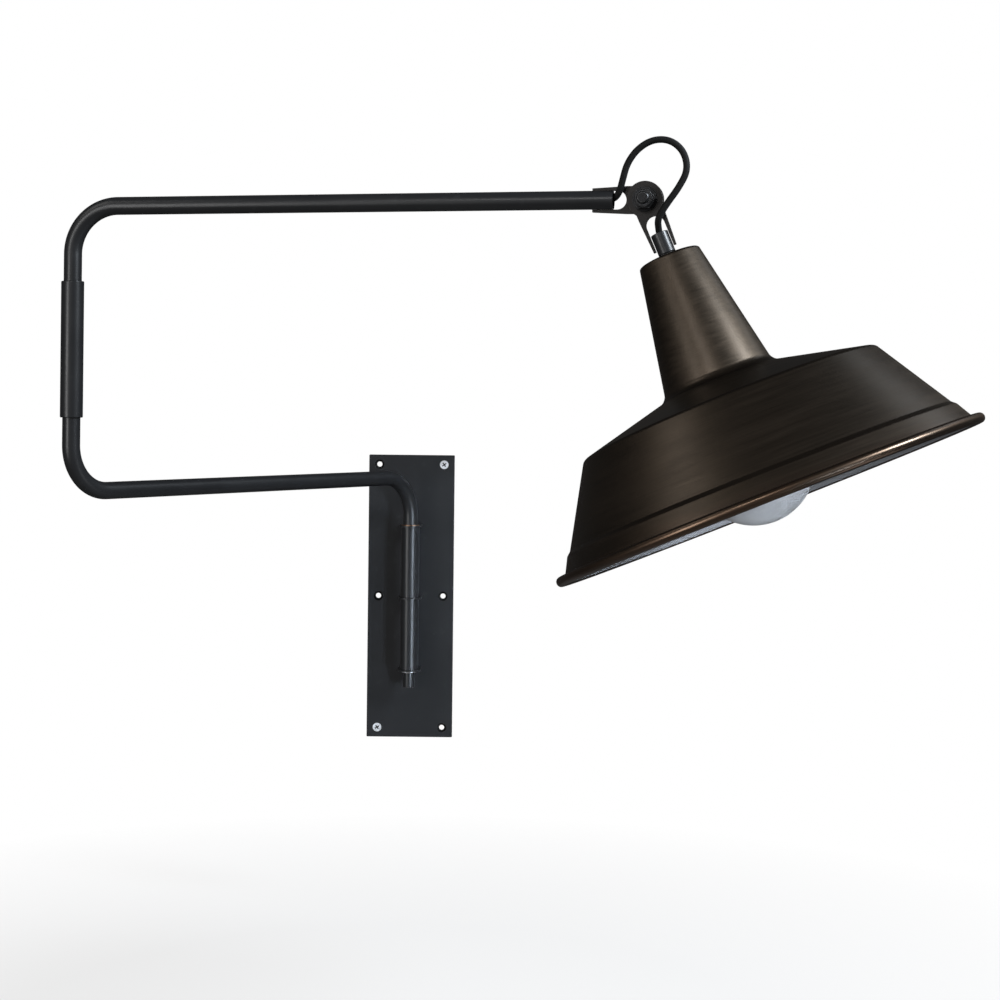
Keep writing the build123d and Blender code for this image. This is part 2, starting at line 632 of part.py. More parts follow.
TONGUE_DIA = 8.0
TONGUE_THICK = 0.8
with BuildPart() as holder_contact:
    with BuildSketch(HEAD_SECTION):
        with Locations((TONGUE_DIA / 4, SOCKET_TOP + TONGUE_THICK / 2)):
            Rectangle(TONGUE_DIA / 2, TONGUE_THICK)
    revolve(axis=HEAD_AXIS)
holder_contact.part.label = "holder_contact"
export_step(holder_contact.part, "parts/holder_contact.step")

# bulb: frosted globe, screw cap, and the insulator that carries the tip contact
CAP_FOOT = CAP_TOP + CAP_LENGTH
TIP_DIA = 9.0
TIP_TOP = SOCKET_TOP + TONGUE_THICK
CAP_WALL = 0.6
TIP_THICK = 1.2
INSULATOR_DROP = 3.0
INSULATOR_THICK = 2.0
GLASS_IN_CAP = 8.0
CAP_FIT = 0.2
GLASS_TOP = CAP_FOOT - GLASS_IN_CAP
GLASS_NECK_RADIUS = CAP_DIA / 2 - CAP_WALL - CAP_FIT
with BuildPart() as bulb_globe:
    for inset, way in ((0.0, Mode.ADD), (GLASS, Mode.SUBTRACT)):
        ball = BULB_RADIUS - inset
        neck_radius = GLASS_NECK_RADIUS - inset
        throat = BULB_NECK_DIA / 2 - inset
        throat_rise = (ball**2 - throat**2) ** 0.5
        with BuildSketch(HEAD_SECTION):
            with BuildLine():
                rim = Line((0, GLASS_TOP), (neck_radius, GLASS_TOP))
                neck = Line(rim @ 1, (neck_radius, CAP_FOOT))
                flare = Spline(
                    neck @ 1,
                    (throat, BULB_CENTRE - throat_rise),
                    tangents=[(0, 1), (throat_rise, throat)],
                )
                globe = ThreePointArc(flare @ 1, (ball, BULB_CENTRE), (0, BULB_CENTRE + ball))
                Line(globe @ 1, rim @ 0)
            make_face()
        revolve(axis=HEAD_AXIS, mode=way)
bulb_globe.part.label = "bulb_globe"
export_step(bulb_globe.part, "parts/bulb_globe.step")

with BuildPart() as bulb_cap:
    with BuildSketch(HEAD_SECTION):
        with Locations(((CAP_DIA - CAP_WALL) / 2, (CAP_TOP + INSULATOR_DROP + CAP_FOOT) / 2)):
            Rectangle(CAP_WALL, CAP_LENGTH - INSULATOR_DROP)
    revolve(axis=HEAD_AXIS)
bulb_cap.part.label = "bulb_cap"
export_step(bulb_cap.part, "parts/bulb_cap.step")

with BuildPart() as bulb_insulator:
    with BuildSketch(HEAD_SECTION):
        with BuildLine():
            Polyline(
                (0, TIP_TOP + TIP_THICK),
                (TIP_DIA / 2, TIP_TOP + TIP_THICK),
                (GLASS_NECK_RADIUS, CAP_TOP + INSULATOR_DROP),
                (GLASS_NECK_RADIUS, CAP_TOP + INSULATOR_DROP + INSULATOR_THICK),
                (0, CAP_TOP + INSULATOR_DROP + INSULATOR_THICK),
                close=True,
            )
        make_face()
    revolve(axis=HEAD_AXIS)
bulb_insulator.part.label = "bulb_insulator"
export_step(bulb_insulator.part, "parts/bulb_insulator.step")

with BuildPart() as bulb_tip:
    with BuildSketch(HEAD_SECTION):
        with Locations((TIP_DIA / 4, TIP_TOP + TIP_THICK / 2)):
            Rectangle(TIP_DIA / 2, TIP_THICK)
    revolve(axis=HEAD_AXIS)
bulb_tip.part.label = "bulb_tip"
export_step(bulb_tip.part, "parts/bulb_tip.step")

# ---------------------------------------------------------------- cord loop over the knuckle
# points of the route, from the arm's mouth to the stem's mouth:
# along the upper arm from the bolt, up from the bolt, and towards the nut
LOOP_ROUTE = [
    (-33.5, 0.0, 0.0),
    (-26.0, 0.0, 0.0),
    (-20.5, 5.0, 2.6),
    (-17.6, 15.0, 5.2),
    (-14.0, 28.0, 6.6),
    (-5.5, 39.5, 7.4),
    (7.0, 46.5, 8.4),
    (21.0, 45.5, 9.2),
    (31.5, 36.0, 9.9),
    (34.5, 21.5, 10.2),
    (27.5, 8.0, 10.3),
    (18.5, -4.0, 9.6),
    (12.9, -12.6, 8.8),
    (10.89, -17.66, 7.2),
    (10.99, -23.04, 3.0),
    (11.617, -27.636, 1.204),
    (14.327, -34.082, 1.485),
]


ARC_SHARE = 0.45  # of the shorter run, taken up by each corner's arc


def loop_point(place):
    """A point of the cord's route in the part's own frame."""
    along, up, front = place
    return KNUCKLE + UPPER_DIR * along + UP * up + BOLT_DIR * front


def corner_radii(points):
    """The largest arc that each corner's two runs allow."""
    radii = []
    for before, here, after in zip(points, points[1:], points[2:]):
        turn = (here - before).get_angle(after - here)
        shorter = min((here - before).length, (after - here).length)
        radii.append(ARC_SHARE * shorter / tan(radians(turn / 2)))
    return radii


loop_points = [loop_point(place) for place in LOOP_ROUTE]
loop_radii = corner_radii(loop_points)
with BuildPart() as cord_loop:
    with BuildLine() as loop_run:
        FilletPolyline(*loop_points, radius=loop_radii)
    with BuildSketch(Plane(origin=loop_points[0], z_dir=loop_points[1] - loop_points[0])):
        Circle(CORD_DIA / 2)
    sweep(path=loop_run.wires()[0])
cord_loop.part.label = "cord_loop"
export_step(cord_loop.part, "parts/cord_loop.step")

loop_length = loop_run.wires()[0].length
loop_section = pi * (CORD_DIA / 2) ** 2
print("cord loop length", round(loop_length, 1))
print("cord loop radii", [round(r, 1) for r in loop_radii])
print("volume", round(cord_loop.part.volume), "section x length", round(loop_section * loop_length))

# the cable goes on inside the stem and the pipe down to the lampholder
with BuildPart() as head_cable:
    cable_start = loop_points[-1]
    cable_end = KNUCKLE + HEAD_DIR * CORE_TOP
    with BuildLine() as head_wire:
        Line(cable_start, cable_end)
    with BuildSketch(Plane(origin=cable_start, z_dir=cable_end - cable_start)):
        Circle(CORD_DIA / 2)
    sweep(path=head_wire.wires()[0])
head_cable.part.label = "head_cable"
export_step(head_cable.part, "parts/head_cable.step")
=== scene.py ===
# %% [markdown]
# # A swing arm wall lamp
#
# The lamp has a black steel plate on the wall, two arms of bent tube that swing on it, and a
# dish shade spun from one disc of sheet metal. This script dresses the engineering model of the
# lamp: it loads the model as a fixed frame, builds finer meshes around it, and mixes a
# procedural material for every finish. Everything is in metres, with Z up. The wall is the plane
# y = 0 and the lamp stands out from it towards -Y.

# %% Load the engineering model
import json
from math import atan2, cos, hypot, pi, radians, sin, tan

import bmesh
import bpy
from mathutils import Matrix, Vector
from mathutils.geometry import interpolate_bezier


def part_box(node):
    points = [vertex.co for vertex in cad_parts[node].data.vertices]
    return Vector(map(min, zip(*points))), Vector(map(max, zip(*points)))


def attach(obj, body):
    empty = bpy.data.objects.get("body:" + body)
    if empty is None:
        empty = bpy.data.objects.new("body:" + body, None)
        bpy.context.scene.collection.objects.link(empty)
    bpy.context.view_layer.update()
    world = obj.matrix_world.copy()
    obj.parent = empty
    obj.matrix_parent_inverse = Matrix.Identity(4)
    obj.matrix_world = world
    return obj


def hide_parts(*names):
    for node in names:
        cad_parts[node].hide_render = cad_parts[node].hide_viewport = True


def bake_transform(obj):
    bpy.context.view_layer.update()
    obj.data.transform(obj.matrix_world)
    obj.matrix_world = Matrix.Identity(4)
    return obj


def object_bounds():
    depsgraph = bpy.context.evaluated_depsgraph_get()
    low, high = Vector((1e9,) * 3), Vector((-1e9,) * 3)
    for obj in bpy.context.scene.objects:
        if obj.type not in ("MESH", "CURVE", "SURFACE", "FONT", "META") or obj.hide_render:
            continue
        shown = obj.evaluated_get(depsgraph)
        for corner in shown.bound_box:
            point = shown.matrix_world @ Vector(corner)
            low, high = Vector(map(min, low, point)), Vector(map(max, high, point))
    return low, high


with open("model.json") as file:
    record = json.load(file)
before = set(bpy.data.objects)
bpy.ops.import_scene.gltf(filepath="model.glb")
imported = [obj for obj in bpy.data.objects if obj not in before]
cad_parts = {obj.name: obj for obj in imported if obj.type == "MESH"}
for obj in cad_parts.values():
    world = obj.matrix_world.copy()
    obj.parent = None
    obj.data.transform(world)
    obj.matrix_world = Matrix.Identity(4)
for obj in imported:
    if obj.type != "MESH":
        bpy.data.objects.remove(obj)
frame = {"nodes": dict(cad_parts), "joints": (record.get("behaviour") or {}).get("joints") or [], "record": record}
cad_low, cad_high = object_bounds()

MM = 0.001
MERGE = 0.002 * MM  # points closer than this are one point
print("engineering model", [round(size / MM) for size in cad_high - cad_low], "mm")

# %% [markdown]
# ## Places and directions
#
# The lamp has three axes of its own: the pivot on the wall, the elbow between the arms, and the
# bolt through the knuckle that holds the shade. Their places could be typed in again, but the
# model's joints already hold them, so they are read from there and can't drift apart.

# %% Axes of the lamp
joints = {joint["name"]: joint for joint in frame["joints"]}
pivot = Vector(joints["wall_swing"]["pos_m"])
elbow = Vector(joints["elbow_swing"]["pos_m"])
knuckle = Vector(joints["head_tilt"]["pos_m"])

up = Vector((0, 0, 1))
bolt_dir = Vector(joints["head_tilt"]["axis"]).normalized()  # towards the nut
upper_dir = up.cross(bolt_dir)

pipe_low, pipe_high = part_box("threaded_pipe")
head_dir = ((pipe_low + pipe_high) / 2 - knuckle).normalized()  # down the shade's axis
head_side = head_dir.cross(bolt_dir).normalized()
print("knuckle", [round(c / MM, 1) for c in knuckle], "shade leans", [round(c, 3) for c in head_dir])

# %% [markdown]
# Round pieces are easiest to make standing up at the origin, with their own axis along Z. A
# matrix then carries the finished mesh to its seat on the lamp. `measure` reads a round part of
# the engineering model from that same seat, so a new piece takes its radii and its ends from the
# part that it stands for.


# %% Seats, and measuring a part from its seat
def seat(origin, along, across):
    """The place of a piece that is made upright at the origin: its Z along, its X across."""
    turn = Matrix((across, along.cross(across), along)).transposed()
    return Matrix.Translation(origin) @ turn.to_4x4()


PIVOT_SEAT = seat(Vector((pivot.x, pivot.y, 0)), up, Vector((1, 0, 0)))
ELBOW_SEAT = seat(Vector((elbow.x, elbow.y, 0)), up, Vector((1, 0, 0)))
BOLT_SEAT = seat(knuckle, bolt_dir, upper_dir)
HEAD_SEAT = seat(knuckle, head_dir, head_side)


def measure(part, place):
    """Inner radius, outer radius, start and end of a round part, seen from its seat."""
    back = place.inverted()
    points = [back @ vertex.co for vertex in frame["nodes"][part].data.vertices]
    radii = [hypot(point.x, point.y) for point in points]
    heights = [point.z for point in points]
    return min(radii), max(radii), min(heights), max(heights)


print("elbow sleeve", [round(size / MM, 2) for size in measure("elbow_sleeve", ELBOW_SEAT)])

# %% [markdown]
# ## The camera
#
# A wall lamp is shown square to the wall, so that its plate stays a true rectangle. The camera
# stands about two metres off, level, a little above the middle of the arms. The vertical shift
# raises the lamp in the frame without tipping the camera, because a tipped camera would make
# the plate's sides lean together. The half degree of roll is the small error of a tripod
# that was set by hand.

# %% Set up the camera
CAMERA_PLACE = Vector((87.26, -1983.39, 208.05)) * MM
CAMERA_LENS = 67.65  # on Blender's 36 mm sensor
CAMERA_ROLL = 0.594  # degrees
CAMERA_SHIFT = (0.0045, -0.1007)  # of the frame's width

camera_data = bpy.data.cameras.new("camera")
camera_data.lens = CAMERA_LENS
camera_data.shift_x, camera_data.shift_y = CAMERA_SHIFT
camera_data.clip_start = 0.05
camera_data.clip_end = 50
camera = bpy.data.objects.new("camera", camera_data)
camera.location = CAMERA_PLACE
camera.rotation_euler = (pi / 2, -radians(CAMERA_ROLL), 0)
bpy.context.scene.collection.objects.link(camera)
bpy.context.scene.camera = camera
print("camera stands", round(knuckle.y - CAMERA_PLACE.y, 2), "m in front of the knuckle")

# %% [markdown]
# ## The cord loop
#
# The supply runs inside both arms, comes out of the upper arm's mouth, goes over the knuckle in a
# free loop and down into the shade's stem. The slack lets the head tilt. A cord could be a
# bevelled curve, but a woven sleeve needs a mesh, so the route is a smooth NURBS curve with a
# few listed points, and the tube is skinned along it afterwards. Each point is given from
# the knuckle's bolt: along the upper arm, up, and out towards the nut.

# %% The cord's route
CORD_RADIUS = 2.7 * MM
LOOP_ROUTE = [
    (-33.5, 0.0, 0.0),
    (-26.0, 0.0, 0.0),
    (-20.5, 5.0, 2.6),
    (-17.6, 15.0, 5.2),
    (-14.0, 28.0, 6.6),
    (-5.5, 39.5, 7.4),
    (7.0, 46.5, 8.4),
    (21.0, 45.5, 9.2),
    (31.5, 36.0, 9.9),
    (34.5, 21.5, 10.2),
    (27.5, 8.0, 10.3),
    (18.5, -4.0, 9.6),
    (12.9, -12.6, 8.8),
    (10.89, -17.66, 7.2),
    (10.99, -23.04, 3.0),
    (11.617, -27.636, 1.204),
    (14.327, -34.082, 1.485),
]


def from_knuckle(along, rise, out):
    """A point given in millimetres from the knuckle's bolt."""
    return knuckle + (upper_dir * along + up * rise + bolt_dir * out) * MM


def smooth_route(points):
    """Closely spaced points of the NURBS curve that has these control points."""
    curve = bpy.data.curves.new("route", "CURVE")
    curve.dimensions = "3D"
    curve.resolution_u = 40
    spline = curve.splines.new("NURBS")
    spline.points.add(len(points) - 1)
    for control, point in zip(spline.points, points):
        control.co = (*point, 1)
    spline.order_u = 3
    spline.use_endpoint_u = True
    carrier = bpy.data.objects.new("route", curve)
    mesh = bpy.data.meshes.new_from_object(carrier)
    line = [vertex.co.copy() for vertex in mesh.vertices]
    bpy.data.objects.remove(carrier)
    bpy.data.meshes.remove(mesh)
    return line


def even_steps(line, step):
    """The same line with its points a fixed step apart."""
    spaced = [line[0]]
    left = step
    for start, end in zip(line, line[1:]):
        run = (end - start).length
        done = 0.0
        while run - done >= left:
            done += left
            spaced.append(start.lerp(end, done / run))
            left = step
        left -= run - done
    return spaced


WEAVE_STEP = 0.3 * MM
cord_line = even_steps(smooth_route([from_knuckle(*point) for point in LOOP_ROUTE]), WEAVE_STEP)
print("cord line", round(WEAVE_STEP * (len(cord_line) - 1) / MM, 1), "mm in", len(cord_line), "points")

# %% [markdown]
# ## Mixing materials
#
# A material is a small network of nodes. Writing out every node takes many lines, so this helper
# puts in a node, feeds its inputs with numbers or with other nodes' sockets, and hands back the
# socket that comes out. Patterns read Object coordinates, which are metres on the lamp, so a
# grain of half a millimetre is half a millimetre on every piece.


# %% A helper for mixing materials
class Finish:
    """A material while it is being mixed."""

    def __init__(self, name):
        self.material = bpy.data.materials.new(name)
        self.material.use_nodes = True
        self.tree = self.material.node_tree
        self.shader = self.tree.nodes["Principled BSDF"]

    def add(self, kind, settings, **inputs):
        """Puts in a node. Its settings are attributes and its inputs are named sockets."""
        node = self.tree.nodes.new("ShaderNode" + kind)
        for key, value in settings.items():
            setattr(node, key, value)
        for key, value in inputs.items():
            self.feed(node.inputs[key.replace("_", " ")], value)
        return node

    def feed(self, socket, value):
        if isinstance(value, bpy.types.NodeSocket):
            self.tree.links.new(value, socket)
        else:
            socket.default_value = value

    def set(self, **inputs):
        """Feeds the surface shader's own sockets."""
        for key, value in inputs.items():
            self.feed(self.shader.inputs[key.replace("_", " ")], value)

    def place(self):
        return self.add("TexCoord", {}).outputs["Object"]

    def noise(self, vector, scale, detail=2.0, roughness=0.5, distortion=0.0):
        """Cloudy noise from 0 to 1."""
        node = self.add("TexNoise", {}, Vector=vector, Scale=scale, Detail=detail)
        node.inputs["Roughness"].default_value = roughness
        node.inputs["Distortion"].default_value = distortion
        return node.outputs["Fac"]

    def math(self, operation, first, second=0.0):
        node = self.add("Math", {"operation": operation})
        self.feed(node.inputs[0], first)
        self.feed(node.inputs[1], second)
        return node.outputs[0]

    def span(self, value, low, high, to_low, to_high):
        """Moves a value from one range to another, and stops at its ends."""
        names = ("From Min", "From Max", "To Min", "To Max")
        node = self.add("MapRange", {}, Value=value)
        for name, number in zip(names, (low, high, to_low, to_high)):
            node.inputs[name].default_value = number
        return node.outputs["Result"]

    def blend(self, share, first, second):
        """A colour between two colours."""
        node = self.add("Mix", {"data_type": "RGBA"})
        self.feed(node.inputs["Factor"], share)
        self.feed(node.inputs[6], first)
        self.feed(node.inputs[7], second)
        return node.outputs[2]

    def bump(self, height, distance, strength=1.0, onto=None):
        """A surface normal that follows a height, given in metres."""
        node = self.add("Bump", {}, Height=height, Distance=distance, Strength=strength)
        if onto is not None:
            self.feed(node.inputs["Normal"], onto)
        return node.outputs["Normal"]

    def attribute(self, name):
        return self.add("Attribute", {"attribute_name": name}).outputs["Fac"]


# %% [markdown]
# ## Black steel
#
# The plate, tubes and sleeves are mild steel with a satin black powder coat. Powder melts into a
# skin with a very fine orange peel, so the finish is a dark, slightly bluish base with two sizes
# of noise in its bump, cloudy gloss, and a trace of polish where hands and edges rub it. The
# rubbed edges come from a mesh attribute of wear and highlight, which the rounding of edges writes.


# %% Satin black powder coat
def satin_black():
    mix = Finish("satin_black")
    place = mix.place()
    clouds = mix.noise(place, 22, 4)
    peel = mix.noise(place, 1400, 1)
    waves = mix.noise(place, 380, 2)
    patches = mix.span(mix.noise(place, 260, 3), 0.42, 0.66, 0, 1)
    edge_mask = mix.math("MULTIPLY", mix.attribute("wear_and_highlight"), patches)
    base = mix.blend(clouds, (0.0125, 0.0130, 0.0145, 1), (0.0185, 0.0190, 0.0205, 1))
    dust = mix.span(mix.noise(place, 90, 6, 0.7), 0.58, 0.8, 0, 0.35)
    dusty = mix.blend(dust, base, (0.05, 0.052, 0.055, 1))
    mix.set(Base_Color=mix.blend(edge_mask, dusty, (0.11, 0.105, 0.10, 1)))
    gloss = mix.span(clouds, 0.3, 0.7, 0.31, 0.38)
    mix.set(Roughness=mix.math("SUBTRACT", gloss, mix.math("MULTIPLY", edge_mask, 0.1)))
    fine = mix.bump(peel, 0.000012, 0.5)
    mix.set(Normal=mix.bump(waves, 0.00003, 0.35, fine))
    mix.set(Specular_IOR_Level=0.42)
    return mix.material


BLACK = satin_black()
print(BLACK.name, len(BLACK.node_tree.nodes), "nodes")

# %% [markdown]
# ## Antique bronze
#
# The shade's outside is a dark chemical bronze, brushed while it turned on the spinning lathe and
# then lacquered. The brush leaves hair lines that run round the shade, which pull every
# highlight out across them. Real hair lines would need millions of faces, so they are done with
# noise squeezed along the shade's own UV map: u is the turn about the axis and v runs down the
# wall. Sine and cosine of u close the pattern, so that no seam shows where the turn starts again.
# The rolled rim is rubbed back to copper where it is handled, and the same copper paints a
# highlight along the rim and along the small step.


# %% Brushed antique bronze
def antique_bronze():
    mix = Finish("antique_bronze")
    wrap = mix.add("UVMap", {"uv_map": "wrap"}).outputs["UV"]
    parts = mix.add("SeparateXYZ", {}, Vector=wrap)
    turn = mix.math("MULTIPLY", parts.outputs["X"], 2 * pi)
    down = parts.outputs["Y"]

    def lathe(around, along):
        """Coordinates that close round the shade, with their grain stretched along the turn."""
        x = mix.math("MULTIPLY", mix.math("COSINE", turn), around)
        y = mix.math("MULTIPLY", mix.math("SINE", turn), around)
        return mix.add("CombineXYZ", {}, X=x, Y=y, Z=mix.math("MULTIPLY", down, along)).outputs[0]

    hairs = mix.noise(lathe(5, 2600), 1, 2, 0.6)
    strokes = mix.noise(lathe(2.2, 420), 1, 3, 0.6)
    bands = mix.noise(lathe(0.9, 70), 1, 2)
    patina = mix.noise(lathe(1.6, 16), 1, 5, 0.6)
    clouds = mix.span(mix.math("ADD", patina, mix.math("MULTIPLY", strokes, 0.35)), 0.45, 0.9, 0, 1)
    dark = mix.blend(clouds, (0.044, 0.035, 0.0265, 1), (0.070, 0.054, 0.040, 1))
    brushed = mix.blend(mix.span(hairs, 0.38, 0.68, 0, 0.5), dark, (0.082, 0.063, 0.047, 1))
    # The rim and the step turn copper, partly as rubbed wear and partly as a painted highlight.
    patches = mix.span(mix.noise(lathe(3.2, 110), 1, 4), 0.36, 0.62, 0.15, 1)
    rub_and_highlight = mix.math("MULTIPLY", mix.attribute("wear_and_highlight"), patches)
    mix.set(Base_Color=mix.blend(rub_and_highlight, brushed, (0.115, 0.074, 0.050, 1)))
    mix.set(Metallic=1.0)
    drift = mix.span(bands, 0.3, 0.7, -0.02, 0.03)
    rough = mix.math("ADD", mix.span(strokes, 0.3, 0.7, 0.33, 0.41), drift)
    mix.set(Roughness=mix.math("SUBTRACT", rough, mix.math("MULTIPLY", rub_and_highlight, 0.06)))
    mix.set(Anisotropic=0.45)
    mix.set(Tangent=mix.add("Tangent", {"direction_type": "UV_MAP", "uv_map": "wrap"}).outputs[0])
    lines = mix.bump(hairs, 0.00002, 0.35)
    mix.set(Normal=mix.bump(strokes, 0.00004, 0.25, lines))
    mix.set(Coat_Weight=0.12)
    mix.set(Coat_Roughness=0.3)
    return mix.material


BRONZE = antique_bronze()
print(BRONZE.name, len(BRONZE.node_tree.nodes), "nodes")

# %% [markdown]
# ## The shade's inside
#
# The inside of the dish is sprayed with a pale aluminium paint to throw the light down. Spray
# paint is flakes of metal in lacquer: half metallic, quite rough, with a fine sparkle, a few
# runs of thinner paint, and dust on it.


# %% Aluminium paint
def aluminium_paint():
    mix = Finish("aluminium_paint")
    place = mix.place()
    flakes = mix.noise(place, 2600, 0)
    spray = mix.noise(place, 34, 4, 0.6)
    grey = mix.blend(spray, (0.30, 0.30, 0.31, 1), (0.40, 0.40, 0.41, 1))
    mix.set(Base_Color=mix.blend(mix.span(flakes, 0.55, 0.75, 0, 0.5), grey, (0.60, 0.60, 0.62, 1)))
    mix.set(Metallic=0.55)
    mix.set(Roughness=mix.span(spray, 0.3, 0.7, 0.42, 0.52))
    mix.set(Normal=mix.bump(mix.noise(place, 700, 2), 0.00004, 0.3))
    return mix.material


PAINT = aluminium_paint()
print(PAINT.name, len(PAINT.node_tree.nodes), "nodes")

# %% [markdown]
# ## Woven sleeve
#
# The cord has a black rayon sleeve braided over its rubber. The braid is modelled in the mesh, so
# the material adds the yarn's fibres: fine lines along each yarn, a soft sheen, a little lint,
# and painted shade that darkens each yarn where it sinks between the others.


# %% Braided textile
def braided_textile():
    mix = Finish("braided_textile")
    place = mix.place()
    lint = mix.noise(place, 500, 4, 0.7)
    # Painted shade: the yarn is darker where the braid sinks and lighter on its crowns.
    painted_groove_shade = mix.attribute("yarn")
    yarn = mix.blend(painted_groove_shade, (0.0025, 0.0025, 0.0025, 1), (0.0075, 0.0074, 0.0072, 1))
    mix.set(Base_Color=mix.blend(mix.span(lint, 0.62, 0.78, 0, 0.3), yarn, (0.06, 0.06, 0.058, 1)))
    mix.set(Roughness=mix.span(lint, 0.3, 0.7, 0.62, 0.8))
    mix.set(Normal=mix.bump(mix.noise(place, 5200, 2, 0.6), 0.00006, 0.5))
    mix.set(Sheen_Weight=0.06)
    mix.set(Sheen_Roughness=0.4)
    mix.set(Specular_IOR_Level=0.22)
    return mix.material


TEXTILE = braided_textile()
print(TEXTILE.name, len(TEXTILE.node_tree.nodes), "nodes")

# %% [markdown]
# ## The small finishes
#
# Screws, lugs, bushes, glass and insulators each have their own finish, but most share one
# recipe: two tones clouded together, a roughness that drifts, a fine bump, and rubbed edges,
# whose lighter tone on blackened steel is also a painted highlight. The recipe is a function,
# and each finish is a row of numbers: its dark and light tones, how metallic and how rough it
# is, and its grain. The frosted glass starts from the recipe and adds the light that wanders
# inside it.


# %% A recipe for plain finishes
USUAL_DEPTH = 0.00002


def plain(name, dark, light, metallic, rough, grain, rub_and_highlight, depth=USUAL_DEPTH):
    """Two tones, drifting gloss, a grain of so many per metre, and edges rubbed lighter, partly as painted
    highlight.
    """
    mix = Finish(name)
    place = mix.place()
    clouds = mix.noise(place, grain / 12, 4, 0.6)
    specks = mix.noise(place, grain, 2)
    patches = mix.span(mix.noise(place, grain / 3, 3), 0.35, 0.65, 0, 1)
    wear_and_highlight = mix.math("MULTIPLY", mix.attribute("wear_and_highlight"), patches)
    tone = mix.blend(mix.span(clouds, 0.3, 0.7, 0, 1), (*dark, 1), (*light, 1))
    mix.set(Base_Color=mix.blend(wear_and_highlight, tone, (*rub_and_highlight, 1)))
    mix.set(Metallic=metallic)
    mix.set(Roughness=mix.span(clouds, 0.3, 0.7, rough[0], rough[1]))
    mix.set(Normal=mix.bump(specks, depth, 0.4))
    return mix


def frosted_glass():
    """Opal glass with an acid-etched skin."""
    white = (0.84, 0.84, 0.84)
    mix = plain("frosted_glass", (0.78, 0.78, 0.79), (0.84, 0.84, 0.845), 0.0, (0.3, 0.36), 1500, white)
    mix.set(Subsurface_Weight=0.35)
    mix.set(Subsurface_Radius=(0.02, 0.02, 0.02))
    mix.set(Subsurface_Scale=0.2)
    mix.set(Coat_Weight=0.1)
    return mix.material


FINISHES = {
    "black_steel": BLACK,
    "shade_bronze": BRONZE,
    "cord_textile": TEXTILE,
    "frosted_glass": frosted_glass(),
}
PLAIN_FINISHES = {
    "zinc_steel": ("bright_zinc", (0.80, 0.81, 0.83), (0.92, 0.93, 0.95), 0.8, (0.4, 0.5), 2400),
    "bronzed_steel": (
        "bronzed_steel", (0.015, 0.0135, 0.0125), (0.024, 0.021, 0.0195),
        0.5, (0.4, 0.52), 900,
    ),
    "blackened_steel": (
        "blackened_steel", (0.014, 0.014, 0.015), (0.026, 0.026, 0.027),
        0.7, (0.32, 0.42), 1800,
    ),
    "bush_bronze": ("bush_bronze", (0.30, 0.17, 0.10), (0.42, 0.27, 0.18), 1.0, (0.28, 0.4), 1600),
    "nylon": ("nylon_insert", (0.020, 0.021, 0.024), (0.032, 0.033, 0.037), 0.0, (0.35, 0.5), 1200),
    "fibre": ("red_fibre", (0.16, 0.05, 0.03), (0.24, 0.09, 0.05), 0.0, (0.6, 0.75), 1500),
    "bakelite": ("black_bakelite", (0.012, 0.011, 0.011), (0.024, 0.020, 0.018), 0.0, (0.22, 0.36), 700),
    "ceramic": ("glazed_ceramic", (0.70, 0.69, 0.66), (0.82, 0.81, 0.78), 0.0, (0.15, 0.3), 500),
    "brass": ("aged_brass", (0.42, 0.30, 0.13), (0.62, 0.46, 0.22), 1.0, (0.25, 0.4), 1500),
    "nickel": ("nickel_plate", (0.50, 0.49, 0.47), (0.66, 0.65, 0.62), 1.0, (0.16, 0.28), 1800),
    "black_glass": ("black_glass", (0.006, 0.006, 0.007), (0.012, 0.012, 0.013), 0.0, (0.05, 0.12), 600),
}
# Each finish's rubbed edges take their own tone. On blackened steel that tone is raised so that the rounded edges
# of the blackened parts also carry a painted highlight.
RUB_AND_HIGHLIGHT_TONES = {
    "zinc_steel": (0.95, 0.95, 0.95),
    "bronzed_steel": (0.07, 0.06, 0.052),
    "blackened_steel": (0.11, 0.11, 0.11),
    "bush_bronze": (0.6, 0.42, 0.3),
    "nylon": (0.06, 0.06, 0.06),
    "fibre": (0.3, 0.14, 0.09),
    "bakelite": (0.06, 0.05, 0.045),
    "ceramic": (0.85, 0.84, 0.82),
    "brass": (0.75, 0.6, 0.32),
    "nickel": (0.78, 0.77, 0.74),
    "black_glass": (0.03, 0.03, 0.03),
}
GRAIN_DEPTHS = {"bronzed_steel": 0.00003, "fibre": 0.00005}  # metres, where it isn't the usual depth
for slot, numbers in PLAIN_FINISHES.items():
    depth = GRAIN_DEPTHS.get(slot, USUAL_DEPTH)
    FINISHES[slot] = plain(*numbers, RUB_AND_HIGHLIGHT_TONES[slot], depth).material
print("finishes:", ", ".join(sorted(FINISHES)))

# %% [markdown]
# Every part of the engineering model gets its finish now. A hidden part, such as the wire inside
# an arm, keeps its plain mesh and only changes its finish. The parts that show are rebuilt below,
# and each rebuilt piece hides the part that it stands for.

# %% Dress every part of the engineering model
slot_of = {part["node"]: part["material_slot"] for part in frame["record"]["subparts"]}
bodies = frame["record"]["behaviour"]["bodies"]
body_of = {part: body for body, parts in bodies.items() for part in parts}
for part, node in frame["nodes"].items():
    node.data.materials.clear()
    node.data.materials.append(FINISHES[slot_of[part]])
print(len(frame["nodes"]), "parts dressed")

# %% [markdown]
# ## Turning a mesh into a piece of the lamp
#
# Each piece ends the same way. Its mesh is moved from the workbench to its seat, shaded smooth
# with its real corners kept sharp, given its finish, and told which moving body it rides on.

# %% Finish a piece
SMOOTH_BELOW = radians(35)


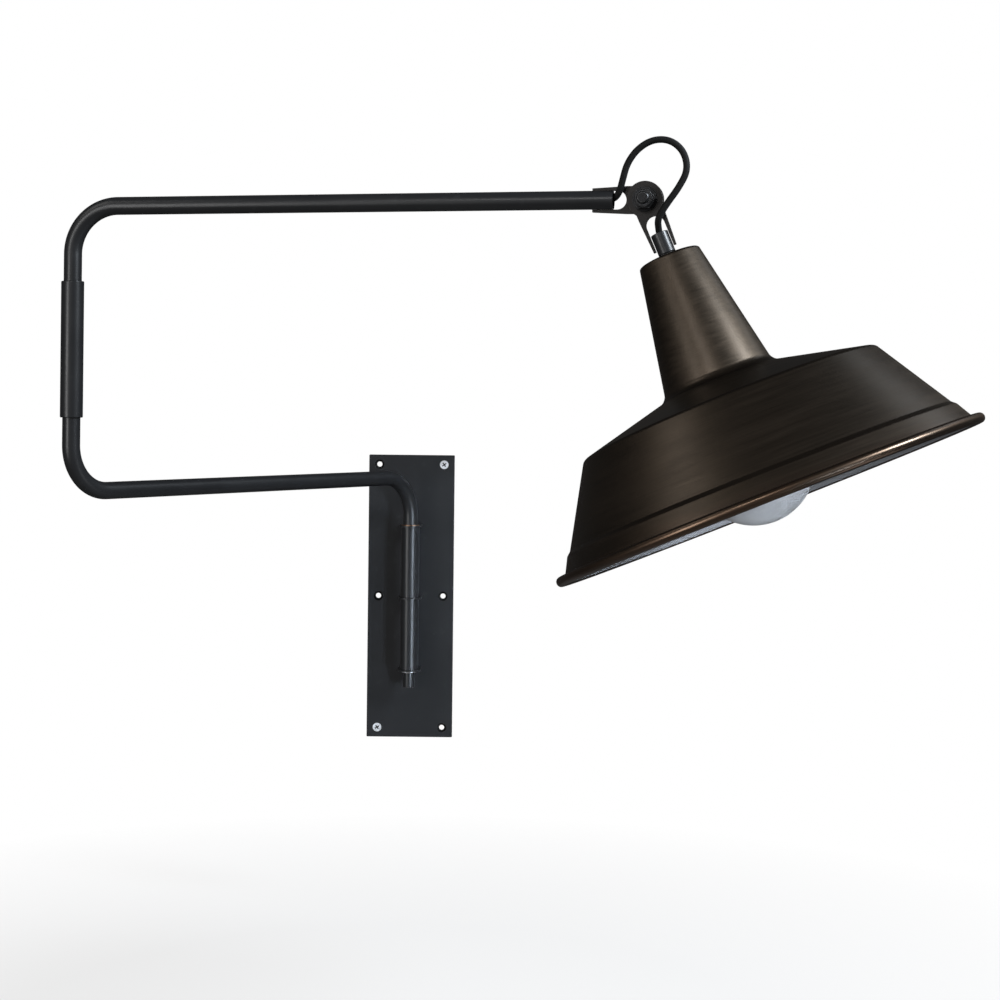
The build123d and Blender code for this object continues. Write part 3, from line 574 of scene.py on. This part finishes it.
def finish_piece(name, bm, part, place=None, materials=None, ride=True):
    """Makes a mesh into the lamp's piece that stands for a part."""
    if place is not None:
        bmesh.ops.transform(bm, matrix=place, verts=bm.verts)
    mesh = bpy.data.meshes.new(name)
    bm.to_mesh(mesh)
    bm.free()
    for material in materials or [FINISHES[slot_of[part]]]:
        mesh.materials.append(material)
    mesh.shade_smooth()
    mesh.set_sharp_from_angle(angle=SMOOTH_BELOW)
    piece = bpy.data.objects.new(name, mesh)
    bpy.context.scene.collection.objects.link(piece)
    if ride:
        piece.modifiers.new("even_shading", "WEIGHTED_NORMAL").keep_sharp = True
        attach(piece, body_of[part])
    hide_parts(part)
    print(name, len(mesh.polygons), "faces")
    return piece


# %% [markdown]
# ## The braided tube
#
# A tube is skinned along a line by extruding one ring of points from each place to the next, and
# turning it as little as it can on the way, so that it never twists. The same function makes the
# bent tubes of the arms, which are left open at their ends. The cord's braid is raised in the
# mesh as well: two families of yarn wind round it in opposite directions, and whichever is on
# top lifts the surface by a twelfth of a millimetre, so that even the outline is slightly knobbly.


# %% Skin a tube along a line
YARN_LIFT = 0.08 * MM


def skin_tube(line, radius, sides, closed, relief=None):
    """A tube round a line. Relief, if there is one, gives a lift for each turn and place along."""
    bm = bmesh.new()
    yarn = bm.verts.layers.float.new("yarn")
    runs = [(after - before).normalized() for before, after in zip(line, line[1:])]
    headings = [runs[0], *((a + b).normalized() for a, b in zip(runs, runs[1:])), runs[-1]]
    across = headings[0].orthogonal().normalized()
    circle = bmesh.ops.create_circle(bm, cap_ends=closed, segments=sides, radius=radius)["verts"]
    bmesh.ops.transform(bm, matrix=seat(line[0], headings[0], across), verts=circle)
    edges = bm.edges[:]
    circles = [(circle, across)]
    for step in range(1, len(line)):
        turn = headings[step - 1].rotation_difference(headings[step]).to_matrix()
        across = turn @ across
        made = bmesh.ops.extrude_edge_only(bm, edges=edges)["geom"]
        circle = [item for item in made if isinstance(item, bmesh.types.BMVert)]
        edges = [item for item in made if isinstance(item, bmesh.types.BMEdge) and item.is_boundary]
        bmesh.ops.rotate(bm, verts=circle, cent=line[step - 1], matrix=turn)
        bmesh.ops.translate(bm, verts=circle, vec=line[step] - line[step - 1])
        circles.append((circle, across))
    if closed:
        bmesh.ops.edgeloop_fill(bm, edges=edges)
    bmesh.ops.recalc_face_normals(bm, faces=bm.faces)
    if relief is None:
        return bm
    along = 0.0
    for step, (circle, across) in enumerate(circles):
        along += (line[step] - line[step - 1]).length if step else 0.0
        aside = headings[step].cross(across)
        for vertex in circle:
            out = (vertex.co - line[step]).normalized()
            height = relief(atan2(out.dot(aside), out.dot(across)) / (2 * pi), along)
            vertex[yarn] = height
            vertex.co += out * YARN_LIFT * height
    return bm


CORD_SIDES = 48
YARNS = 12
YARN_RUN = 14.4 * MM  # length of cord in which a yarn goes once round


def weave(turn, along):
    """How high the braid stands, from 0 to 1, at a turn about the cord and a place along it."""
    first = YARNS * (turn + along / YARN_RUN)
    second = YARNS * (turn - along / YARN_RUN)
    over = first if (first // 1 + second // 1) % 2 else second
    return abs(sin(pi * over)) ** 0.6


cord_bm = skin_tube(cord_line, CORD_RADIUS - YARN_LIFT, CORD_SIDES, True, weave)
cord = finish_piece("braided_cord", cord_bm, "cord_loop", ride=False)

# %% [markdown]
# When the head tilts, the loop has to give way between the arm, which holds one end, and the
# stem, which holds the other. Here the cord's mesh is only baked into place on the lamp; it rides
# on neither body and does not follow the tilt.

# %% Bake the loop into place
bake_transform(cord)

# %% [markdown]
# ## Spinning round pieces
#
# Most of the lamp is turned or spun: the shade, the bulb, sleeves and washers. Each is an outline
# of corners, given as radius and height in millimetres, whose corners are rounded by beveling the
# loose points before the outline is spun. Where an outline touches the axis, the spin leaves a
# bundle of points at one place, and merging them closes the pole.


# %% Spin an outline
def spun(outline, radii=None, closed=True, steps=128, segments=4):
    """Spins an outline about Z and rounds each of its corners to a radius."""
    bm = bmesh.new()
    corners = [bm.verts.new((radius * MM, 0, height * MM)) for radius, height in outline]
    ends = corners[1:] + corners[:1] if closed else corners[1:]
    for start, end in zip(corners, ends):
        bm.edges.new((start, end))
    rounds = []
    for place, radius in enumerate(radii or []):
        if radius:
            here = corners[place].co
            come = here - corners[place - 1].co
            go = corners[(place + 1) % len(corners)].co - here
            rounds.append((corners[place], radius * MM * tan(come.angle(go) / 2)))
    for corner, reach in rounds:
        bmesh.ops.bevel(
            bm,
            geom=[corner],
            offset=reach,
            offset_type="OFFSET",
            segments=segments,
            profile=0.5,
            affect="VERTICES",
            clamp_overlap=False,
            material=-1,
        )
    bmesh.ops.spin(
        bm,
        geom=bm.verts[:] + bm.edges[:],
        cent=(0, 0, 0),
        axis=(0, 0, 1),
        dvec=(0, 0, 0),
        angle=2 * pi,
        steps=steps,
        use_merge=True,
        use_duplicate=False,
    )
    bmesh.ops.remove_doubles(bm, verts=bm.verts, dist=MERGE)
    bmesh.ops.recalc_face_normals(bm, faces=bm.faces)
    return bm


ON_AXIS = 0.01 * MM


def wrap(bm):
    """A UV map that wraps a round piece: u is the turn about its axis and v runs down its wall."""
    layer = bm.loops.layers.uv.new("wrap")
    for face in bm.faces:
        middle = face.calc_center_median()
        facing = atan2(middle.y, middle.x)
        for loop in face.loops:
            point = loop.vert.co
            radius = hypot(point.x, point.y)
            turn = atan2(point.y, point.x) if radius > ON_AXIS else facing
            turn += 2 * pi * round((facing - turn) / (2 * pi))
            loop[layer].uv = (turn / (2 * pi), radius + point.z)


def ring(name, part, place, edge, steps=96):
    """A plain ring or sleeve with its edges rounded, measured from the part that it stands for."""
    inner, outer, start, end = (size / MM for size in measure(part, place))
    corners = [(inner, start), (outer, start), (outer, end), (inner, end)]
    return finish_piece(name, spun(corners, [edge] * 4, steps=steps), part, place)


# %% [markdown]
# ## The shade
#
# The outline follows the outside of the metal from the pipe's hole, over the top of the neck,
# down the flaring neck, across the shoulder, down the wide skirt, over a small step and into the
# rim, which is rolled outwards and back up. One millimetre of metal is then added on the inside.

# %% Spin the shade
SHADE_OUTLINE = [
    (5.1, 50),
    (24.9, 50),
    (44.7, 155.6),
    (121.5, 175.4),
    (156.8, 236.5),
    (160.2, 239.5),
    (170.4, 258.8),
    (174.5, 258.8),
    (174.5, 253),
    (167.7, 253),
]
SHADE_ROUNDS = [0, 2.5, 9, 5, 3, 3, 1.6, 2.7, 2.7, 0]
SHEET = 1.0
NECK_TOP = 60 * MM  # nearer the bolt than this is the flat top, whose outside faces the bolt

shade_bm = spun(SHADE_OUTLINE, SHADE_ROUNDS, closed=False, steps=288, segments=8)
top_faces = [face for face in shade_bm.faces if face.calc_center_median().z < NECK_TOP]
if sum(face.normal.z * face.calc_area() for face in top_faces) > 0:
    bmesh.ops.reverse_faces(shade_bm, faces=shade_bm.faces)
bmesh.ops.solidify(shade_bm, geom=shade_bm.faces[:], thickness=SHEET * MM)
print("shade reaches", round(max(hypot(v.co.x, v.co.y) for v in shade_bm.verts) / MM, 2), "mm out")

# %% [markdown]
# The lacquer is rubbed thin all over the rolled rim, and a little along the edge of the step; the
# same lighter copper paints the highlights that run along the rim and the step. The walls that
# face the bulb get the paint, up to where the rim turns over, and the rest the bronze.

# %% Rub the rim, paint its highlight, and paint the inside
RIM_START = 168.5
RIM_FADE = 4.0
STEP_PLACE = 159.0
STEP_FADE = 1.6
STEP_RUB_AND_HIGHLIGHT = 0.5
PAINT_REACH = 166.5 * MM

edge_mask = shade_bm.verts.layers.float.new("wear_and_highlight")
for vertex in shade_bm.verts:
    radius = hypot(vertex.co.x, vertex.co.y) / MM
    rim = min(1.0, max(0.0, (radius - RIM_START) / RIM_FADE))
    step = max(0.0, 1 - abs(radius - STEP_PLACE) / STEP_FADE) * STEP_RUB_AND_HIGHLIGHT
    vertex[edge_mask] = max(rim, step)
for face in shade_bm.faces:
    middle = face.calc_center_median()
    out = Vector((middle.x, middle.y, 0)).normalized()
    inside = out.dot(face.normal) - face.normal.z < 0 and hypot(middle.x, middle.y) < PAINT_REACH
    face.material_index = 1 if inside else 0
wrap(shade_bm)
finish_piece("spun_shade", shade_bm, "shade", HEAD_SEAT, materials=[BRONZE, PAINT])

# %% [markdown]
# ## The bulb
#
# The globe is ninety-five millimetres across and leaves its screw cap through a short flared
# throat. The throat is a Bezier curve that starts straight down the neck and ends along the ball.

# %% Blow the globe
BALL = 47.5
BALL_CENTRE = 225.0
BALL_STEPS = 48
GLASS_NECK = 12.2
THROAT = 18.0
THROAT_STEPS = 14
CAP_FOOT = 161.5
GLASS_TOP = 153.5

rise = (BALL**2 - THROAT**2) ** 0.5
throat_end = Vector((THROAT, BALL_CENTRE - rise))
neck_end = Vector((GLASS_NECK, CAP_FOOT))
ball_way = Vector((rise, THROAT)).normalized()
reach = (throat_end - neck_end).length * 0.36
leaving = neck_end + Vector((0, reach))
arriving = throat_end - ball_way * reach
flare = interpolate_bezier(neck_end, leaving, arriving, throat_end, THROAT_STEPS)

first = atan2(-rise, THROAT)
ball = []
for k in range(1, BALL_STEPS + 1):
    angle = first + (pi / 2 - first) * k / BALL_STEPS
    ball.append((BALL * cos(angle), BALL_CENTRE + BALL * sin(angle)))
ball[-1] = (0.0, BALL_CENTRE + BALL)
glass = [(0.0, GLASS_TOP), (GLASS_NECK, GLASS_TOP), *((point.x, point.y) for point in flare), *ball]
finish_piece("frosted_globe", spun(glass, steps=128), "bulb_globe", HEAD_SEAT)

# %% [markdown]
# The screw cap is pressed from thin sheet. Its thread is a wavy wall, made of rings instead of a
# true helix, which look the same at this size.

# %% Roll the screw cap
THREAD_DEPTH = 0.45
THREAD_START = 1.5
THREAD_RUN = 15.0
THREAD_STEPS = 30
STEPS_A_TURN = 6

inner, outer, start, end = (size / MM for size in measure("bulb_cap", HEAD_SEAT))
thread = []
for k in range(THREAD_STEPS + 1):
    wave = THREAD_DEPTH * cos(2 * pi * k / STEPS_A_TURN)
    thread.append((outer - THREAD_DEPTH + wave, start + THREAD_START + THREAD_RUN * k / THREAD_STEPS))
cap_outline = [(inner, start), (outer - 0.5, start), *thread, (outer - 0.1, end), (inner, end)]
finish_piece("screw_cap", spun(cap_outline, steps=96), "bulb_cap", HEAD_SEAT)

# %% [markdown]
# ## The arms
#
# Both arms are the same fifteen millimetre tube, bent on a forty millimetre former. The line of
# each is given by its corners, and `rounded` puts the bends in. The skinned tube is open at its
# ends and gets its wall by solidifying, so that its mouth is a real hole that the cord comes from.


# %% Bend the arm tubes
BEND = 40.0 * MM
TUBE_RADIUS = 7.5 * MM
TUBE_WALL = 1.5 * MM
ARM_END = 25.5 * MM  # from the bolt back to the mouth of the upper arm
LOWER_ARM_DROP = 120.5 * MM  # from the middle of the elbow down to the lower arm


def rounded(corners, radius, share=32):
    """The points of a line that turns each of its corners on an arc."""
    line = [corners[0]]
    for before, here, after in zip(corners, corners[1:], corners[2:]):
        come, go = (here - before).normalized(), (after - here).normalized()
        turn = come.angle(go)
        start = here - come * radius * tan(turn / 2)
        inward = (go - come * go.dot(come)).normalized()
        for k in range(share + 1):
            angle = turn * k / share
            line.append(start + come * radius * sin(angle) + inward * radius * (1 - cos(angle)))
    return [*line, corners[-1]]


def arm_tube(name, corners, part):
    bm = skin_tube(rounded(corners, BEND), TUBE_RADIUS, 64, False)
    if bm.faces[0].normal.dot(bm.faces[0].calc_center_median() - corners[0]) < 0:
        bmesh.ops.reverse_faces(bm, faces=bm.faces)
    bmesh.ops.solidify(bm, geom=bm.faces[:], thickness=TUBE_WALL)
    return finish_piece(name, bm, part)


lower_low, lower_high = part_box("lower_arm_tube")
upper_low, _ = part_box("upper_arm_tube")
lower_level = joints["elbow_swing"]["pos_m"][2] - LOWER_ARM_DROP
arm_tube(
    "bent_lower_arm",
    [
        Vector((pivot.x, pivot.y, lower_low.z)),
        Vector((pivot.x, pivot.y, lower_level)),
        Vector((elbow.x, elbow.y, lower_level)),
        Vector((elbow.x, elbow.y, lower_high.z)),
    ],
    "lower_arm_tube",
)
arm_tube(
    "bent_upper_arm",
    [
        Vector((elbow.x, elbow.y, upper_low.z)),
        Vector((elbow.x, elbow.y, knuckle.z)),
        knuckle - upper_dir * ARM_END,
    ],
    "upper_arm_tube",
)

# %% [markdown]
# ## Sleeves and washers
#
# Every cut tube has a small broken edge, which catches a line of light and makes it look like
# metal. A ring piece takes its sizes from the model and only adds that edge.

# %% Turn the sleeves and washers
ring("upper_sleeve", "upper_pivot_sleeve", PIVOT_SEAT, 0.5)
ring("lower_sleeve", "lower_pivot_sleeve", PIVOT_SEAT, 0.5)
ring("elbow_barrel", "elbow_sleeve", ELBOW_SEAT, 0.7)
ring("thrust_ring", "elbow_thrust_washer", ELBOW_SEAT, 0.2)
ring("rear_washer", "back_washer", BOLT_SEAT, 0.3)
ring("front_ring", "front_washer", BOLT_SEAT, 0.3)
ring("friction_ring", "friction_disc", BOLT_SEAT, 0.3)
ring("stem", "stem_tube", HEAD_SEAT, 0.4)
ring("neck_ring", "neck_washer", HEAD_SEAT, 0.2)

# %% [markdown]
# ## Pressed and machined parts
#
# The flat and hexagonal parts already have the right shape in the engineering model, but their
# edges are perfectly sharp. `softened` takes such a part's mesh, clears away the triangles that
# divide its flat faces, and rounds the real edges. The faces of the new rounds are marked for
# wear and highlight, which the finishes read: they are rubbed lighter, and on blackened steel the
# lighter edge is also a painted highlight.


# %% Round the edges of a part
def softened(name, part, edge, segments=3, corner=radians(40)):
    """A copy of a part's mesh whose sharp edges are rounded by so many millimetres."""
    bm = bmesh.new()
    bm.from_mesh(frame["nodes"][part].data)
    for face in bm.faces:
        face.material_index = 0
    bmesh.ops.remove_doubles(bm, verts=bm.verts, dist=MERGE)
    bmesh.ops.dissolve_limit(bm, angle_limit=radians(0.5), verts=bm.verts, edges=bm.edges)
    wear_and_highlight = bm.faces.layers.float.new("wear_and_highlight")
    sharp = [line for line in bm.edges if len(line.link_faces) == 2 and line.calc_face_angle() > corner]
    made = bmesh.ops.bevel(
        bm,
        geom=sharp,
        offset=edge * MM,
        offset_type="OFFSET",
        segments=segments,
        profile=0.5,
        affect="EDGES",
        clamp_overlap=True,
        material=-1,
    )
    for face in made["faces"]:
        face[wear_and_highlight] = 1.0
    return finish_piece(name, bm, part)


back_plate = softened("back_plate", "wall_plate", 0.45)
screws = softened("countersunk_screws", "wall_screws", 0.12, 2)
softened("top_tab", "top_pivot_tab", 0.25)
softened("middle_tab", "middle_pivot_tab", 0.25)
softened("bottom_tab", "bottom_pivot_tab", 0.25)
softened("flanged_bush", "upper_pivot_bush", 0.12, 2)
softened("cup_bush", "lower_pivot_bush", 0.15, 2)
softened("hollow_nipple", "pivot_nipple", 0.3)
softened("snap_clip", "pivot_clip", 0.15, 2)
softened("fixed_lug", "arm_lug", 0.15)
softened("swinging_lug", "head_lug", 0.15)
softened("hex_bolt", "knuckle_bolt", 0.25)
softened("locking_nut", "lock_nut", 0.25)
softened("nut_insert", "lock_nut_insert", 0.2, 2)
softened("pipe", "threaded_pipe", 0.15, 2)
softened("stem_insert", "stem_plug", 0.15, 2)
softened("top_lock_nut", "upper_neck_nut", 0.25)
softened("inner_lock_nut", "lower_neck_nut", 0.25)
softened("holder_lock_nut", "holder_nut", 0.25)
softened("holder_shell", "holder_body", 0.5)
softened("holder_dome", "holder_cap", 0.3)
softened("holder_ceramic", "holder_core", 0.3)
softened("screw_shell", "holder_screw_shell", 0.1, 2)
softened("centre_contact", "holder_contact", 0.15, 2)
softened("cap_insulator", "bulb_insulator", 0.15, 2)
softened("tip_contact", "bulb_tip", 0.25)

# %% [markdown]
# The countersinks get painted shade. Their cones are told from the plate's own edges by their
# slant and by their place, and get a near-black, rough finish of painted shade that makes each
# hole read as a dark ring. The insides of the screws' cross recesses get the same painted shade,
# because nothing bright is in front of them to be mirrored.

# %% Paint shade into the countersinks and recesses
NEAR_BLACK = (0.006, 0.006, 0.006)
# Near-black and rough, this finish is painted shade for the holes.
hole_shade = plain("countersink_painted_shade", (0.003, 0.003, 0.0032), NEAR_BLACK, 0.0, (0.7, 0.85), 900, (0.01, 0.01, 0.01))
hole_shade.set(Specular_IOR_Level=0.15)
HOLE_ROWS = (-138.5, 0, 138.5)
holes = [Vector((x * MM, 0, z * MM)) for x in (-34, 34) for z in HOLE_ROWS]
SINK_REACH = 5.6 * MM
RECESS_REACH = 2.7 * MM
RECESS_TOP = -3.7 * MM
RECESS_FLOOR = -1.9 * MM


def paint_hole_shade(piece, reach, chosen):
    """Gives painted shade to the chosen faces that are within reach of a hole's axis."""
    piece.data.materials.append(hole_shade.material)
    shaded_faces = 0
    for polygon in piece.data.polygons:
        middle = Vector((polygon.center.x, 0, polygon.center.z))
        if min((middle - hole).length for hole in holes) < reach and chosen(polygon):
            polygon.material_index = 1
            shaded_faces += 1
    print(piece.name, shaded_faces, "dull faces")


paint_hole_shade(back_plate, SINK_REACH, lambda face: abs(face.normal.y) < 0.9)
paint_hole_shade(screws, RECESS_REACH, lambda face: RECESS_TOP < face.center.y < RECESS_FLOOR)

# %% [markdown]
# ## The studio
#
# Dark tubes show little but the lights that they mirror, so the lights are placed for their
# reflections. The large one at the left draws the long highlights on the tubes and lights the
# plate. The high one at the right, slightly blue, draws the bright line down the neck of the
# shade, and a narrow beam below it reaches only the pivot. The others are weak: one for the top
# of the arm and the neck, one from below for the bulb, and two from behind for the edges.

# %% Hang the lights
scene = bpy.context.scene
scene.view_settings.view_transform = "Standard"
scene.view_settings.look = "None"


def softbox(name, place, target, size, power, tint, spread=180):
    """A rectangular studio light that the camera can't see."""
    light = bpy.data.lights.new(name, "AREA")
    light.shape = "RECTANGLE"
    light.size, light.size_y = size
    light.energy = power
    light.color = tint
    light.spread = radians(spread)
    lamp = bpy.data.objects.new(name, light)
    lamp.location = place
    lamp.rotation_euler = (Vector(target) - Vector(place)).to_track_quat("-Z", "Y").to_euler()
    lamp.visible_camera = False
    scene.collection.objects.link(lamp)


SOFTBOXES = [
    ("left_softbox", (-1.74, -2.23, 0.12), (0, -0.3, 0.1), (0.6, 1.3), 20, (1.0, 1.0, 1.0)),
    ("right_high_softbox", (1.45, -1.10, 1.10), (0.25, -0.53, 0.24), (0.4, 0.4), 42, (0.84, 0.92, 1.0)),
    ("right_back_softbox", (1.32, 0.02, 1.26), (0.4, -0.55, 0.15), (0.6, 0.6), 1.5, (0.85, 0.93, 1.0)),
    ("right_low_softbox", (1.2, -1.75, -0.2), (0, -0.03, 0.0), (0.3, 0.5), 0.3, (0.72, 0.84, 1.0), 15),
    ("front_top_softbox", (-0.5, -2.2, 1.0), (0.0, -0.45, 0.367), (0.5, 0.2), 4.5, (1.0, 1.0, 1.0)),
    ("underside_softbox", (0.95, -0.85, -0.35), (0.27, -0.52, 0.14), (0.4, 0.4), 0.85, (0.93, 0.96, 1.0)),
    ("left_back_softbox", (-1.06, -0.9, 1.08), (0.25, -0.6, 0.15), (0.5, 0.5), 1.8, (1.0, 0.98, 0.95)),
]
for numbers in SOFTBOXES:
    softbox(*numbers)
print(len(SOFTBOXES), "lights")

# %% [markdown]
# The background is pure white to the camera. As a source of light it is only a dim grey, a
# little brighter behind the camera than behind the wall, so that black parts stay black.

# %% Paint the background
FRONT_GLOW = 0.15
BACK_GLOW = 0.04

world = bpy.data.worlds.new("studio")
scene.world = world
world.use_nodes = True
tree = world.node_tree
shine = tree.nodes["Background"]
direction = tree.nodes.new("ShaderNodeTexCoord")
split = tree.nodes.new("ShaderNodeSeparateXYZ")
tree.links.new(direction.outputs["Generated"], split.inputs[0])
level = tree.nodes.new("ShaderNodeMapRange")
for key, number in (("From Min", 0.6), ("From Max", -1.0), ("To Min", BACK_GLOW), ("To Max", FRONT_GLOW)):
    level.inputs[key].default_value = number
tree.links.new(split.outputs["Y"], level.inputs["Value"])
rays = tree.nodes.new("ShaderNodeLightPath")
seen = tree.nodes.new("ShaderNodeMix")
seen.inputs[3].default_value = 1.0
tree.links.new(rays.outputs["Is Camera Ray"], seen.inputs[0])
tree.links.new(level.outputs["Result"], seen.inputs[2])
tree.links.new(seen.outputs[0], shine.inputs["Strength"])
shine.inputs["Color"].default_value = (1, 1, 1, 1)
print("background glows", FRONT_GLOW, "in front and", BACK_GLOW, "behind")

# %% [markdown]
# The floor is a round sheet of pale paper below the lamp. Its material fades out towards the
# sheet's edge, so that the floor melts into the white without a line.

# %% Lay the floor
FLOOR_DROP = 0.2
FLOOR_RADIUS = 0.9
FLOOR_CENTRE = (0, -0.35, cad_low.z - FLOOR_DROP)
FADE_START = 0.35
FADE_END = 0.88
FLOOR_ALPHA = 0.22

floor_bm = bmesh.new()
bmesh.ops.create_circle(floor_bm, cap_ends=True, segments=96, radius=FLOOR_RADIUS)
bmesh.ops.translate(floor_bm, verts=floor_bm.verts, vec=FLOOR_CENTRE)
floor_mesh = bpy.data.meshes.new("floor")
floor_bm.to_mesh(floor_mesh)
floor_bm.free()
floor = bpy.data.objects.new("floor", floor_mesh)
scene.collection.objects.link(floor)

paper = Finish("paper")
centred = paper.add("VectorMath", {"operation": "SUBTRACT"})
paper.feed(centred.inputs[0], paper.place())
centred.inputs[1].default_value = FLOOR_CENTRE
away = paper.add("VectorMath", {"operation": "LENGTH"})
paper.feed(away.inputs[0], centred.outputs[0])
paper.set(Base_Color=(0.8, 0.8, 0.8, 1), Roughness=0.9)
paper.set(Alpha=paper.span(away.outputs["Value"], FADE_START, FADE_END, FLOOR_ALPHA, 0.0))
floor_mesh.materials.append(paper.material)
print("floor at", round(FLOOR_CENTRE[2], 3), "m")
